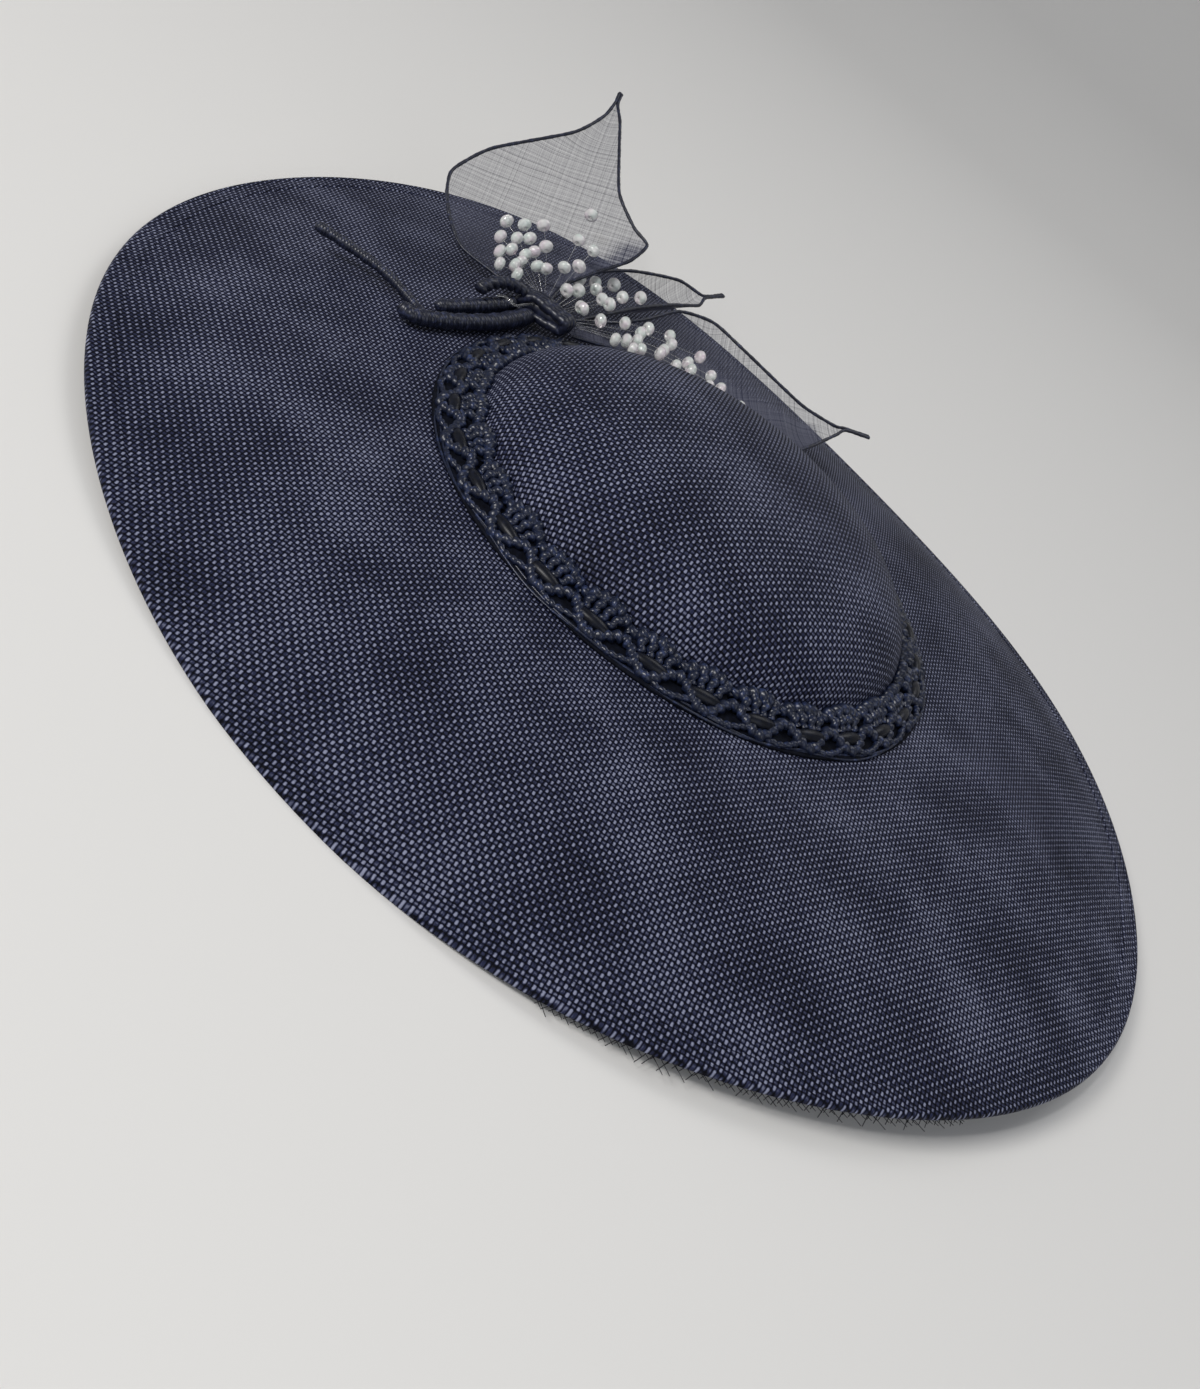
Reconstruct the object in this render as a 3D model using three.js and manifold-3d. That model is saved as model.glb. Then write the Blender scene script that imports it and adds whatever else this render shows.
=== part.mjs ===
// Saucer fascinator: a wide, gently domed sinamay brim with a shallow crown, a scalloped braid
// round the crown, and a trim of organza leaves, bead sprays and thread-wound stems.
// Millimetres, +Z up. The hat rests on its rim on z = 0, with the brim's middle at the origin.

import * as THREE from 'three';
import { mergeVertices } from 'three/addons/utils/BufferGeometryUtils.js';
import Module from 'manifold-3d';

const wasm = await Module();
wasm.setup();

// Brim: heights are measured from the mean plane of the rim
const RIM_RADIUS = 210;
const RIM_OVAL = 4.35;
const RIM_LIFT = 6.2;
const RIM_WAVES = [
  { turns: 2, cos: 2.53, sin: -3.95 },
  { turns: 3, cos: 0.93, sin: -0.45 },
  { turns: 4, cos: -2.48, sin: 0.6 },
];
const BRIM_RISE = 14;
const BRIM_CURVE = 1.9;
const BRIM_WALL = 1.5;
const HEM_WALL = 3;
const HEM_WIDTH = 8;
const HEM_STEP = 0.6;
const HEM_REST = 2.5;
const BRIM_SEGMENTS = 64;
const BRIM_STATIONS = [0.2, 0.42, 0.64, 0.82];

// Crown dome, set a little off the brim's middle
const CROWN_X = -2.5;
const CROWN_RADIUS = 86.4;
const CROWN_HEIGHT = 36;
const CROWN_POWER = 2.2;
const CROWN_WALL = 1.5;
const CROWN_FOOT = 0.8;
const CROWN_SEGMENTS = 40;
const CROWN_STATIONS = 7;

// Braid round the foot of the crown: heights from the brim at the crown's foot
const SCALLOPS = 30;
const SCALLOP_STEPS = 4;
const LOBE_POWER = 0.6;
const BRAID_RADIUS = 101;
const BRAID = { foot: 1.05, top: 4.5, topLobe: 4, inset: 1 };
const BRAID_CORD = { width: 2.2, rise: 0.6 };
const BRAID_WAIST = { share: 0.62, height: 4.45, lobe: 1.2 };
const BRAID_EDGE = { inset: 0.8, height: 2.55, lobe: 0.6, footLobe: 0.4 };

// Clearance between pieces that lie on each other
const GAP = 0.35;

// Trim: binding across the bundle of stems, with its loop of spare tape
const BINDING = { front: 45, back: 52, left: -113, right: -87.5, lowLeft: 15.2, lowRight: 19.6, top: 27 };
const BINDING_POINTS = 7;
const BINDING_LEAST_SWELL = 0.2;
const BINDING_LOOP = {
  radius: 1.9,
  steps: 6,
  points: [[-105, 48.5, 22.5], [-112.5, 43, 25], [-117, 32, 25.6], [-118, 22, 24]],
};

// Stems and tendril: points along each, end first
const STEMS = [
  {
    name: 'stem_lower',
    radius: 3.25,
    steps: 12,
    points: [
      [-127, -17, 18],
      [-121, -17.5, 18],
      [-115, -6, 18.2],
      [-110, 8, 18.3],
      [-106, 24, 18.3],
      [-103, 44.2, 19],
    ],
  },
  {
    name: 'stem_upper',
    radius: 3,
    steps: 9,
    points: [
      [-122, 0.5, 18],
      [-119.5, 6, 18],
      [-116.5, 19, 18],
      [-113, 34, 18.2],
      [-111, 44, 19.2],
    ],
  },
  {
    name: 'tendril',
    radius: 1.65,
    steps: 14,
    points: [
      [-121, -10.2, 17.4],
      [-127, -6, 16.1],
      [-140, -4.5, 17.2],
      [-152, -7.5, 18],
      [-168, -13, 18.4],
    ],
  },
];
const STEM_SIDES = 8;

// Leaves: base, heading in degrees, and a row for each section from the base to the thread tail
// Columns: along, left, right, then the heights of the left edge, the middle and the right edge
const LEAVES = [
  {
    name: 'leaf_1',
    base: [-106, 55.6],
    heading: 113.4,
    rows: [
      [0, -8, 2, 20, 20, 20],
      [13, -33, 7, 18, 22, 27],
      [25, -42, 17, 21, 26, 34],
      [35, -47, 27, 25, 31, 41],
      [44, -49, 31, 29, 36, 47],
      [51, -47, 24, 32, 39, 48],
      [65, -38, 14, 40, 45, 52],
      [87, -12, 8, 56, 56, 60],
      [102, -3, 4, 64, 64, 66],
      [111, -0.7, 0.7, 69, 69, 69],
      [116, -0.6, 0.6, 72, 72, 72],
    ],
  },
  {
    name: 'leaf_2',
    base: [-95.5, 53.2],
    heading: 78.3,
    rows: [
      [0, -4, 2, 21, 20, 21],
      [20, -12, 4.5, 24, 18.5, 26],
      [46, -20, 4, 26, 17, 28],
      [71, -17, 5, 29, 18.5, 29.5],
      [96, -8, 6, 31, 25, 29],
      [106, 1.3, 2.9, 30, 30, 30],
      [124, 1.4, 2.6, 30, 30, 30],
    ],
  },
  {
    name: 'leaf_3',
    base: [-89, 54.3],
    heading: 42.4,
    rows: [
      [0, -4, 2.5, 21, 20, 20],
      [31, -14, 7, 30, 23, 25.5],
      [52, -28, 11, 34, 21, 25],
      [70, -30, 15, 35, 21, 24],
      [83, -20, 21, 34, 22, 23.5],
      [98, -9, 27, 32, 24, 23],
      [112, -1, 19, 30, 25.5, 24.5],
      [129, 2, 7, 29, 28.5, 28],
      [136, 0.3, 1.7, 29, 29, 29],
      [149, 0.4, 1.6, 30, 30, 30],
    ],
  },
];
const LEAF_WALL = 1.1;
const LEAF_ACROSS = 5;

// Sprays: a row for each strand of filament, from left to right on the spray's tied root
// Columns: heading and rise in degrees, reach, distance to the first bead, beads
const SPRAYS = [
  {
    name: 'spray_1',
    root: [-106, 53.2, 24.4],
    strands: [
      [200, 3, 18, 8, 2],
      [185, 9, 22, 12, 2],
      [172, 13, 28, 13, 3],
      [162, 18, 34, 16, 3],
      [150, 22, 33, 12, 4],
      [137, 27, 34, 12, 3],
      [109, 31, 48, 16, 3],
      [96, 34, 33, 20, 2],
    ],
  },
  {
    name: 'spray_2',
    root: [-97.4, 53.2, 24.6],
    strands: [
      [98, 6, 32, 13, 2],
      [91, 6, 38, 18, 2],
      [86, 6, 47, 28, 2],
      [75, 7, 53, 24, 3],
      [69, 13, 27, 9, 2],
      [60, 26, 13, 8, 1],
    ],
  },
  {
    name: 'spray_3',
    root: [-89.6, 53.2, 24],
    strands: [
      [52, 8, 50, 14, 4],
      [45, 6, 62, 30, 3],
      [38, 4, 65, 27, 4],
      [32, 4, 67, 21, 4],
      [26, 4, 74, 26, 4],
      [14, 14, 24, 14, 2],
    ],
  },
];
const STRAND_RADIUS = 0.45;
const STRAND_PITCH = 1.1;
const STRAND_ARCH = 0.05;
const ROOT_DEPTH = 1.6;
const BEAD_RADIUS = 2.3;
const BEAD_LENGTH = 3.4;
const BEAD_SIDES = 10;
const BEAD_FROM_TIP = 2.4;

// Strip of net under the front of the hem, its edge just past the rim
const NET = { from: 283, to: 318, inside: 7, outside: 2.5, wall: 1, columns: 12, mostRise: 1.2 };

// Comb under the crown, its spine below the brim's inner edge
const COMB = { back: -95, width: 64, wall: 1.6, top: 12.9 };
const COMB_TEETH = { count: 12, from: -89, to: -62, width: 2.2 };

// Distance under which corners are taken as one
const WELD = 1e-4;

const radians = THREE.MathUtils.degToRad;
const lerp = THREE.MathUtils.lerp;

// A solid through closed outlines, joined into a ring or capped at both ends
// Each outline runs along its upper side and back along its lower side
function loft(outlines, joined) {
  const count = outlines[0].length;
  const positions = outlines.flat(2);
  const triangles = [];
  const quad = (a, b, c, d) => triangles.push(a, b, c, a, c, d);
  const last = joined ? outlines.length : outlines.length - 1;
  for (let row = 0; row < last; row += 1) {
    const here = row * count;
    const next = ((row + 1) % outlines.length) * count;
    for (let k = 0; k < count; k += 1) {
      const after = (k + 1) % count;
      quad(here + k, next + k, next + after, here + after);
    }
  }
  if (!joined) {
    const end = (outlines.length - 1) * count;
    for (let k = 0; k < count / 2 - 1; k += 1) {
      quad(k, k + 1, count - 2 - k, count - 1 - k);
      quad(end + k, end + count - 1 - k, end + count - 2 - k, end + k + 1);
    }
  }
  const geometry = new THREE.BufferGeometry();
  geometry.setAttribute('position', new THREE.Float32BufferAttribute(positions, 3));
  geometry.setIndex(triangles);
  return facingOut(geometry);
}

// Turns every triangle round if the solid's volume comes out negative
function facingOut(geometry) {
  const p = geometry.attributes.position;
  const index = geometry.index.array;
  const a = new THREE.Vector3();
  const b = new THREE.Vector3();
  const c = new THREE.Vector3();
  let volume = 0;
  for (let k = 0; k < index.length; k += 3) {
    a.fromBufferAttribute(p, index[k]);
    b.fromBufferAttribute(p, index[k + 1]);
    c.fromBufferAttribute(p, index[k + 2]);
    volume += a.dot(b.cross(c));
  }
  if (volume < 0) {
    geometry.setIndex(Array.from(index).reverse());
  }
  geometry.computeVertexNormals();
  return geometry;
}

// A capped tube through points
function tube(points, radius, sides, steps) {
  const path = new THREE.CatmullRomCurve3(points.map((point) => new THREE.Vector3(...point)));
  const corners = Array.from({ length: sides }, (_, k) => {
    const angle = (k / sides) * 2 * Math.PI;
    return new THREE.Vector2(radius * Math.cos(angle), radius * Math.sin(angle));
  });
  return new THREE.ExtrudeGeometry(new THREE.Shape(corners), { steps, extrudePath: path });
}

// Closed geometry as a solid that can be joined to others
function solid(geometry) {
  const bare = geometry.clone();
  bare.deleteAttribute('normal');
  bare.deleteAttribute('uv');
  const merged = mergeVertices(bare, WELD);
  const index = Array.from(merged.index.array);
  const triangles = [];
  for (let k = 0; k < index.length; k += 3) {
    const corners = index.slice(k, k + 3);
    if (new Set(corners).size === 3) {
      triangles.push(...corners);
    }
  }
  return new wasm.Manifold(new wasm.Mesh({
    numProp: 3,
    vertProperties: new Float32Array(merged.attributes.position.array),
    triVerts: new Uint32Array(triangles),
  }));
}

function geometryOf(joined) {
  const mesh = joined.getMesh();
  const geometry = new THREE.BufferGeometry();
  geometry.setAttribute('position', new THREE.BufferAttribute(mesh.vertProperties, 3));
  geometry.setIndex(new THREE.BufferAttribute(mesh.triVerts, 1));
  geometry.computeVertexNormals();
  return geometry;
}

function piece(name, geometry, color, roughness) {
  const material = new THREE.MeshStandardMaterial({ color, roughness, metalness: 0 });
  const mesh = new THREE.Mesh(geometry, material);
  mesh.name = name;
  return mesh;
}

// Rim radius, and rim height from its mean plane, at an angle round the hat
function rimRadius(angle) {
  return RIM_RADIUS - RIM_OVAL * Math.sin(2 * angle);
}

function rimHeight(angle) {
  return RIM_WAVES.reduce(
    (sum, wave) => sum + wave.cos * Math.cos(wave.turns * angle) + wave.sin * Math.sin(wave.turns * angle),
    0,
  );
}

// Middle of the brim's wall at a radius and an angle
function brimPoint(radius, angle) {
  const rim = rimRadius(angle);
  const share = Math.max(0, (radius - BRAID_RADIUS) / (rim - BRAID_RADIUS));
  const shift = CROWN_X * (1 - Math.min(1, share));
  const height = BRIM_RISE * (1 - share ** BRIM_CURVE) + rimHeight(angle) * share ** 2;
  return [shift + radius * Math.cos(angle), radius * Math.sin(angle), height];
}

// Outline of the brim's wall at an angle: out along the top, back along the underside
function brimOutline(angle) {
  const rim = rimRadius(angle);
  const hem = rim - HEM_WIDTH;
  const stations = [CROWN_RADIUS + GAP, BRAID_RADIUS]
    .concat(BRIM_STATIONS.map((share) => lerp(BRAID_RADIUS, rim, share)))
    .concat([hem - HEM_STEP, hem, rim - HEM_REST, rim]);
  const wallAt = (radius) => (radius >= hem ? HEM_WALL : BRIM_WALL);
  const top = stations.map((radius) => {
    const [x, y, z] = brimPoint(radius, angle);
    return [x, y, z + wallAt(radius) / 2];
  });
  const underside = stations.map((radius) => {
    const [x, y, z] = brimPoint(radius, angle);
    return [x, y, Math.max(-RIM_LIFT, z - wallAt(radius) / 2)];
  });
  return top.concat(underside.reverse());
}

function brimGeometry() {
  const outlines = [];
  for (let k = 0; k < BRIM_SEGMENTS; k += 1) {
    outlines.push(brimOutline((k / BRIM_SEGMENTS) * 2 * Math.PI));
  }
  return loft(outlines, true);
}

// Crown: a lathe of the dome's outside and, back up to the axis, its inside
function domeProfile(radius, height) {
  const points = [];
  for (let k = 0; k <= CROWN_STATIONS; k += 1) {
    const angle = (k / CROWN_STATIONS) * Math.PI / 2;
    const out = k === 0 ? 0 : radius * Math.sin(angle) ** (2 / CROWN_POWER);
    const up = k === CROWN_STATIONS ? 0 : height * Math.cos(angle) ** (2 / CROWN_POWER);
    points.push(new THREE.Vector2(out, BRIM_RISE + up));
  }
  points.push(new THREE.Vector2(radius, BRIM_RISE - CROWN_FOOT));
  return points;
}

function crownGeometry() {
  const outside = domeProfile(CROWN_RADIUS, CROWN_HEIGHT);
  const inside = domeProfile(CROWN_RADIUS - CROWN_WALL, CROWN_HEIGHT - CROWN_WALL);
  const geometry = new THREE.LatheGeometry(outside.concat(inside.reverse()).reverse(), CROWN_SEGMENTS);
  geometry.rotateX(Math.PI / 2);
  geometry.translate(CROWN_X, 0, 0);
  return geometry;
}

function crownRadiusAt(height) {
  const share = (height - BRIM_RISE) / CROWN_HEIGHT;
  return CROWN_RADIUS * (1 - share ** CROWN_POWER) ** (1 / CROWN_POWER);
}

// Braid: a tape that leans on the crown, its upper edge raised into a lobe at each scallop
function braidGeometry() {
  const outlines = [];
  const columns = SCALLOPS * SCALLOP_STEPS;
  for (let k = 0; k < columns; k += 1) {
    const angle = (k / columns) * 2 * Math.PI;
    const lobe = Math.sin(((k % SCALLOP_STEPS) / SCALLOP_STEPS) * Math.PI) ** LOBE_POWER;
    const top = BRAID.top + BRAID.topLobe * lobe;
    const inner = crownRadiusAt(BRIM_RISE + top) + GAP;
    const section = [
      [CROWN_RADIUS + BRAID.inset, BRAID.foot],
      [inner, top],
      [inner + BRAID_CORD.width, top + BRAID_CORD.rise],
      [lerp(inner, BRAID_RADIUS, BRAID_WAIST.share), BRAID_WAIST.height + BRAID_WAIST.lobe * lobe],
      [BRAID_RADIUS - BRAID_EDGE.inset + BRAID_EDGE.lobe * lobe, BRAID_EDGE.height],
      [BRAID_RADIUS + BRAID_EDGE.footLobe * lobe, BRAID.foot],
    ];
    outlines.push(section.map(([r, height]) => [
      CROWN_X + r * Math.cos(angle),
      r * Math.sin(angle),
      BRIM_RISE + height,
    ]));
  }
  return loft(outlines, true);
}

// Leaf: a thin blade lofted through its table of sections
function leafGeometry({ base, heading, rows }) {
  const ahead = [Math.cos(radians(heading)), Math.sin(radians(heading))];
  const outlines = rows.map(([along, left, right, zLeft, zMiddle, zRight]) => {
    const blade = [];
    for (let k = 0; k < LEAF_ACROSS; k += 1) {
      const v = k / (LEAF_ACROSS - 1);
      const across = lerp(left, right, v);
      // A parabola through the three heights
      const z = zLeft * (1 - v) * (1 - 2 * v) + 4 * zMiddle * v * (1 - v) + zRight * v * (2 * v - 1);
      blade.push([
        base[0] + along * ahead[0] + across * ahead[1],
        base[1] + along * ahead[1] - across * ahead[0],
        z,
      ]);
    }
    const upper = blade.map(([x, y, z]) => [x, y, z + LEAF_WALL / 2]);
    const lower = blade.map(([x, y, z]) => [x, y, z - LEAF_WALL / 2]).reverse();
    return upper.concat(lower);
  });
  return loft(outlines, false);
}

// Strand: a thin filament, half as many-sided as a bead, that swells into a bead at each distance
function strandSolid(path, reach, beadsAt) {
  const stations = [[0, STRAND_RADIUS]];
  beadsAt.forEach((at) => {
    stations.push([at - BEAD_LENGTH / 2, STRAND_RADIUS], [at - BEAD_LENGTH / 4, BEAD_RADIUS]);
    stations.push([at + BEAD_LENGTH / 4, BEAD_RADIUS], [at + BEAD_LENGTH / 2, STRAND_RADIUS]);
  });
  stations.push([reach, STRAND_RADIUS]);
  const rings = stations.map(([distance, radius]) => {
    const centre = path.getPointAt(distance / reach);
    const ahead = path.getTangentAt(distance / reach);
    const side = new THREE.Vector3(0, 0, 1).cross(ahead).normalize();
    const up = ahead.clone().cross(side);
    return Array.from({ length: BEAD_SIDES }, (_, k) => {
      const corner = radius > STRAND_RADIUS ? k : k - (k % 2);
      const angle = (corner / BEAD_SIDES) * 2 * Math.PI;
      const point = centre.clone();
      point.addScaledVector(side, radius * Math.cos(angle));
      point.addScaledVector(up, radius * Math.sin(angle));
      return point.toArray();
    });
  });
  return solid(loft(rings, false));
}

// Spray: strands of beaded filament, joined into one body by their tied root
function sprayGeometry({ root, strands }) {
  const width = strands.length * STRAND_PITCH;
  const tie = new THREE.BoxGeometry(width, ROOT_DEPTH, ROOT_DEPTH);
  tie.translate(...root);
  let spray = solid(tie);
  strands.forEach(([heading, rise, reach, first, beads], k) => {
    const from = new THREE.Vector3(...root);
    from.x += (k + 0.5) * STRAND_PITCH - width / 2;
    const flat = reach * Math.cos(radians(rise));
    const tip = from.clone().add(new THREE.Vector3(
      flat * Math.cos(radians(heading)),
      flat * Math.sin(radians(heading)),
      reach * Math.sin(radians(rise)),
    ));
    const middle = from.clone().lerp(tip, 0.5);
    middle.z += reach * STRAND_ARCH;
    const beadsAt = Array.from({ length: beads }, (_, bead) => (
      beads === 1 ? first : lerp(first, reach - BEAD_FROM_TIP, bead / (beads - 1))
    ));
    spray = spray.add(strandSolid(new THREE.CatmullRomCurve3([from, middle, tip]), reach, beadsAt));
  });
  return geometryOf(spray);
}

// Binding: an arched wrap over the bundle, joined to its loop of spare tape
function bindingGeometry() {
  const arch = (y) => {
    const upper = [];
    const lower = [];
    for (let k = 0; k < BINDING_POINTS; k += 1) {
      const v = k / (BINDING_POINTS - 1);
      const x = lerp(BINDING.left, BINDING.right, v);
      const low = lerp(BINDING.lowLeft, BINDING.lowRight, v);
      const swell = Math.max(BINDING_LEAST_SWELL, Math.sqrt(Math.max(0, Math.sin(v * Math.PI))));
      upper.push([x, y, lerp(low, BINDING.top, swell)]);
      lower.push([x, y, low]);
    }
    return upper.concat(lower.reverse());
  };
  const wrap = solid(loft([arch(BINDING.front), arch(BINDING.back)], false));
  const loop = solid(tube(BINDING_LOOP.points, BINDING_LOOP.radius, STEM_SIDES, BINDING_LOOP.steps));
  return geometryOf(wrap.add(loop));
}

// Net strip that follows the underside of the hem
function netGeometry() {
  const outlines = [];
  for (let k = 0; k <= NET.columns; k += 1) {
    const angle = radians(lerp(NET.from, NET.to, k / NET.columns));
    const rim = rimRadius(angle);
    const top = rimHeight(angle) - HEM_WALL / 2 - GAP;
    const ends = [rim - NET.inside, rim + NET.outside];
    const upper = ends.map((r) => {
      const [x, y, z] = brimPoint(r, angle);
      return [x, y, Math.min(top + (z - rimHeight(angle)), top + NET.mostRise)];
    });
    const lower = upper.map(([x, y, z]) => [x, y, z - NET.wall]).reverse();
    outlines.push(upper.concat(lower));
  }
  return loft(outlines, false);
}

// Comb: one flat plate with its teeth cut in
function combGeometry() {
  const half = COMB.width / 2;
  const pitch = (COMB.width - COMB_TEETH.width) / (COMB_TEETH.count - 1);
  const outline = [[COMB.back, -half], [COMB.back, half]];
  for (let k = COMB_TEETH.count - 1; k >= 0; k -= 1) {
    const near = -half + k * pitch;
    const far = near + COMB_TEETH.width;
    outline.push([COMB_TEETH.from, far], [COMB_TEETH.to, far]);
    outline.push([COMB_TEETH.to, near], [COMB_TEETH.from, near]);
  }
  const corners = outline.slice(0, 2)
    .concat(outline.slice(3, -1))
    .map(([x, y]) => new THREE.Vector2(x, y));
  const plate = new THREE.ExtrudeGeometry(new THREE.Shape(corners), { depth: COMB.wall, bevelEnabled: false });
  plate.translate(0, 0, COMB.top - COMB.wall);
  return plate;
}

const NAVY_STRAW = 0x1a1d33;
const NAVY_GIMP = 0x10131f;
const NAVY_ORGANZA = 0x2a2f48;
const NAVY_SATIN = 0x12141f;
const CLEAR_BEAD = 0xe6e6e0;
const BLACK_NET = 0x08080b;
const DARK_PLASTIC = 0x16161c;

const hat = new THREE.Group();
hat.add(piece('brim', brimGeometry(), NAVY_STRAW, 0.6));
hat.add(piece('crown', crownGeometry(), NAVY_STRAW, 0.6));
hat.add(piece('braid', braidGeometry(), NAVY_GIMP, 0.5));
LEAVES.forEach((leaf) => hat.add(piece(leaf.name, leafGeometry(leaf), NAVY_ORGANZA, 0.7)));
SPRAYS.forEach((spray) => hat.add(piece(spray.name, sprayGeometry(spray), CLEAR_BEAD, 0.1)));
STEMS.forEach((stem) => {
  const round = tube(stem.points, stem.radius, STEM_SIDES, stem.steps);
  hat.add(piece(stem.name, round, NAVY_SATIN, 0.45));
});
hat.add(piece('binding', bindingGeometry(), NAVY_SATIN, 0.4));
hat.add(piece('under_net', netGeometry(), BLACK_NET, 0.9));
hat.add(piece('comb', combGeometry(), DARK_PLASTIC, 0.35));
hat.position.z = RIM_LIFT;

export default hat;
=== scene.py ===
# Saucer fascinator: woven straw brim and crown, gimp braid, organza leaves, bead sprays and wound stems

import math

import bpy
import numpy as np
from mathutils import Matrix, Vector


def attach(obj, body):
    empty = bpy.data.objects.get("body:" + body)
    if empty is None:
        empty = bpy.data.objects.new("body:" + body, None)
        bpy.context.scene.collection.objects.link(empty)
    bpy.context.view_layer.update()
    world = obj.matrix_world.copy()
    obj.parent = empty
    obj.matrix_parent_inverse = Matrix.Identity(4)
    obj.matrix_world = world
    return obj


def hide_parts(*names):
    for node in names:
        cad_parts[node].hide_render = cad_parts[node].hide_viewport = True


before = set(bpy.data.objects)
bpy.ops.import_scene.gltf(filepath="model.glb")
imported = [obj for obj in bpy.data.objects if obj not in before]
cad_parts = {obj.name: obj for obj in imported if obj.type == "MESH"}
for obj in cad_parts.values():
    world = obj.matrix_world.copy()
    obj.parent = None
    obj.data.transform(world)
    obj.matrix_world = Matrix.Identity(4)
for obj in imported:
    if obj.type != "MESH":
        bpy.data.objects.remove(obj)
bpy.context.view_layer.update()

# Sizes below are millimetres in the CAD frame, turned to metres where a mesh is made
MM = 0.001
TURN = 2 * math.pi

# Brim
RIM_RADIUS = 210
RIM_OVAL = 4.35
RIM_LIFT = 6.2
# Columns: waves round the rim, cosine and sine heights
RIM_WAVES = [(2, 2.53, -3.95), (3, 0.93, -0.45), (4, -2.48, 0.6)]
BRIM_RISE = 14
BRIM_CURVE = 1.9
BRIM_WALL = 1.5
HEM_WIDTH = 8
HEM_WALL = 2.1
HEM_GROOVE = 0.2
FOLD_DIP = 0.7
FOLD_RISE = 0.5
# Columns: distance in from the rim, height over the hem's wall
HEM_PROFILE = [(4.5, 0.0), (3.0, -0.15), (2.2, 0.1)]
EDGE_WIRE = 1.5
EDGE_ARCS = 8
BRIM_COLUMNS = 240
BRIM_ROWS = 26

# Crown
CROWN_X = -2.5
CROWN_RADIUS = 86.4
CROWN_HEIGHT = 36
CROWN_POWER = 2.2
CROWN_WALL = 1.5
CROWN_FOOT = 0.8
CROWN_GAP = 0.4
CROWN_PEAK = 0.01
CROWN_COLUMNS = 128
CROWN_ROWS = 28
CROWN_STRETCH = 1.15

# Braid
BRAID_RADIUS = 101
BRAID_UNITS = 30
BRAID_TOP = 4.5
BRAID_LOBE = 4
LOBE_POWER = 0.6

# Weave of the straw. Its colours are painted light: painted shade in the gaps between threads, the navy of
# the thread, and a painted highlight on the raised floats
WEAVE_TURN = 7
WEAVE_PITCH = (1.28, 1.6)
THREAD_SWING = 1.5
THREAD_ROUND = 6.0
# Share of the painted highlight that the weft floats get, next to the warp
WEFT_GLINT_SHARE = 0.74
# Painted shade in the gaps, the thread's own navy, and the painted highlight on the float crowns
STRAW_GAP_SHADE = (0.0015, 0.0018, 0.005)
STRAW_NAVY = (0.02, 0.024, 0.058)
STRAW_PAINTED_GLINT = (0.23, 0.245, 0.335)

CORD_SIDES = 8
RINGS_PER_RIDGE = 4
BALL_POWER = 0.8

random = np.random.default_rng(7)


# Shader helpers
class Nodes:
    def __init__(self, name):
        self.material = bpy.data.materials.new(name)
        self.material.use_nodes = True
        self.tree = self.material.node_tree
        self.shader = self.tree.nodes["Principled BSDF"]

    def set(self, **values):
        for name, value in values.items():
            self.shader.inputs[name.replace("_", " ")].default_value = value

    def add(self, kind, **values):
        node = self.tree.nodes.new(kind)
        for name, value in values.items():
            setattr(node, name, value)
        return node

    def join(self, source, socket):
        if hasattr(source, "is_output"):
            self.tree.links.new(source, socket)
        else:
            socket.default_value = source

    def math(self, operation, *inputs):
        node = self.add("ShaderNodeMath", operation=operation)
        for socket, source in zip(node.inputs, inputs):
            self.join(source, socket)
        return node.outputs[0]

    def attribute(self, name):
        found = self.add("ShaderNodeAttribute", attribute_name=name)
        split = self.add("ShaderNodeSeparateXYZ")
        self.join(found.outputs["Vector"], split.inputs[0])
        return found.outputs["Vector"], split.outputs

    def noise(self, vector, scale, detail=2.0):
        node = self.add("ShaderNodeTexNoise")
        self.join(vector, node.inputs["Vector"])
        node.inputs["Scale"].default_value = scale
        node.inputs["Detail"].default_value = detail
        return node.outputs["Fac"]

    def position(self):
        return self.add("ShaderNodeTexCoord").outputs["Object"]

    def ramp(self, factor, stops):
        node = self.add("ShaderNodeValToRGB")
        elements = node.color_ramp.elements
        while len(elements) < len(stops):
            elements.new(1.0)
        for element, (place, color) in zip(elements, stops):
            element.position = place
            element.color = (*color, 1.0)
        self.join(factor, node.inputs["Fac"])
        return node.outputs["Color"]

    def bump(self, height, distance, strength=1.0):
        node = self.add("ShaderNodeBump")
        node.inputs["Strength"].default_value = strength
        node.inputs["Distance"].default_value = distance * MM
        self.join(height, node.inputs["Height"])
        self.join(node.outputs["Normal"], self.shader.inputs["Normal"])
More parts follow.
